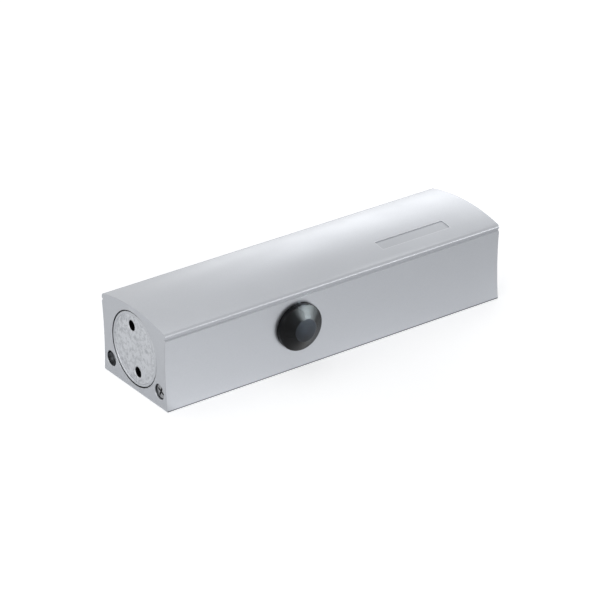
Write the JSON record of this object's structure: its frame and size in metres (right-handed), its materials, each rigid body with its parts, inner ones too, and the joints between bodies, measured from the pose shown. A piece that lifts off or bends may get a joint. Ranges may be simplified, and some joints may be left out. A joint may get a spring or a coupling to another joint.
{
  "type": "overhead door closer",
  "caption": "Overhead door closer: long satin-silver housing with an arched top, round end plug, corner valve screws and a black conical spindle cap.",
  "frame": {"origin": "centre of the flat mounting face, at its height", "axes": "+Z out of the mounting face towards the arched top; +X along the housing from the valve end to the spring end; -Y towards the side with the black spindle cap"},
  "size_m": [0.216, 0.0694, 0.0482],
  "materials": {
    "housing": "satin silver anodised, fine lengthwise grain",
    "plug": "turned and blasted, matt silver",
    "steel": "ground steel",
    "hard_steel": "hardened and polished steel",
    "zinc_steel": "bright zinc-plated steel",
    "spring_steel": "dark oiled spring steel",
    "seal": "matt black nitrile rubber",
    "cage": "natural polyamide",
    "cap": "glossy black moulded plastic"
  },
  "bodies": {
    "housing": {"housing": "housing", "end_plug_left": "plug", "end_plug_right": "plug", "end_plug_left_o_ring": "seal", "end_plug_right_o_ring": "seal", "thrust_washers": "steel", "bearing_cup_near": "steel", "bearing_cup_far": "steel", "spindle_gland_near": "plug", "spindle_gland_far": "plug", "spindle_seal_near": "seal", "spindle_seal_far": "seal", "spring_outer": "spring_steel", "spring_inner": "spring_steel", "adjuster_o_ring": "seal", "channel_ball_plugs": "hard_steel"},
    "spindle": {"spindle": "steel"},
    "bearing_near": {"roller_cage_near": "cage", "needle_rollers_near": "hard_steel"},
    "bearing_far": {"roller_cage_far": "cage", "needle_rollers_far": "hard_steel"},
    "cap": {"spindle_cap": "cap"},
    "piston": {"piston": "steel", "check_retainer": "hard_steel"},
    "check_ball": {"check_ball": "hard_steel"},
    "spring_plate": {"spring_plate": "steel"},
    "power_adjuster": {"power_adjust_screw": "zinc_steel"},
    "latching_valve_seal": {"latching_valve_o_ring": "seal"},
    "latching_valve": {"latching_valve_screw": "zinc_steel"},
    "closing_valve_seal": {"closing_valve_o_ring": "seal"},
    "closing_valve": {"closing_valve_screw": "zinc_steel"}
  },
  "joints": [
    {"name": "spindle_turn", "type": "hinge", "parent": "housing", "child": "spindle", "pos_m": [-0.025, 0, 0.024], "axis": [0, 1, 0], "range_deg": [0, 180], "stiffness_Nm_per_rad": 7.7, "springref_deg": -147.25},
    {"name": "piston_slide", "type": "slide", "parent": "housing", "child": "piston", "axis": [1, 0, 0], "range_m": [0, 0.033], "deforming": ["spring_outer", "spring_inner"]},
    {"name": "bearing_near_turn", "type": "hinge", "parent": "housing", "child": "bearing_near", "pos_m": [-0.025, -0.0174, 0.024], "axis": [0, 1, 0], "range_deg": [0, 76]},
    {"name": "bearing_far_turn", "type": "hinge", "parent": "housing", "child": "bearing_far", "pos_m": [-0.025, 0.0174, 0.024], "axis": [0, 1, 0], "range_deg": [0, 76]},
    {"name": "check_ball_lift", "type": "slide", "parent": "piston", "child": "check_ball", "axis": [-1, 0, 0], "range_m": [0, 0.0008]},
    {"name": "cap_pull", "type": "slide", "parent": "housing", "child": "cap", "axis": [0, -1, 0], "range_m": [0, 0.02]},
    {"name": "power_adjust_turn", "type": "hinge", "parent": "housing", "child": "power_adjuster", "pos_m": [0.1, 0, 0.024], "axis": [-1, 0, 0], "range_deg": [0, 3242]},
    {"name": "spring_plate_slide", "type": "slide", "parent": "housing", "child": "spring_plate", "axis": [-1, 0, 0], "range_m": [0, 0.01125]},
    {"name": "latching_valve_turn", "type": "hinge", "parent": "latching_valve_seal", "child": "latching_valve", "pos_m": [-0.1, -0.0228, 0.009], "axis": [-1, 0, 0], "range_deg": [-1351, 271]},
    {"name": "latching_valve_travel", "type": "slide", "parent": "housing", "child": "latching_valve_seal", "axis": [-1, 0, 0], "range_m": [-0.003, 0.0006]},
    {"name": "closing_valve_turn", "type": "hinge", "parent": "closing_valve_seal", "child": "closing_valve", "pos_m": [-0.1, 0.0228, 0.009], "axis": [-1, 0, 0], "range_deg": [-361, 1261]},
    {"name": "closing_valve_travel", "type": "slide", "parent": "housing", "child": "closing_valve_seal", "axis": [-1, 0, 0], "range_m": [-0.0008, 0.0028]}
  ],
  "couplings": [
    {"joint": "piston_slide", "follows": "spindle_turn", "m_per_rad": 0.0105},
    {"joint": "bearing_near_turn", "follows": "spindle_turn", "ratio": 0.42105},
    {"joint": "bearing_far_turn", "follows": "spindle_turn", "ratio": 0.42105},
    {"joint": "power_adjust_turn", "follows": "spring_plate_slide", "rad_per_m": 5026.5},
    {"joint": "latching_valve_turn", "follows": "latching_valve_travel", "rad_per_m": 7854},
    {"joint": "closing_valve_turn", "follows": "closing_valve_travel", "rad_per_m": 7854}
  ]
}
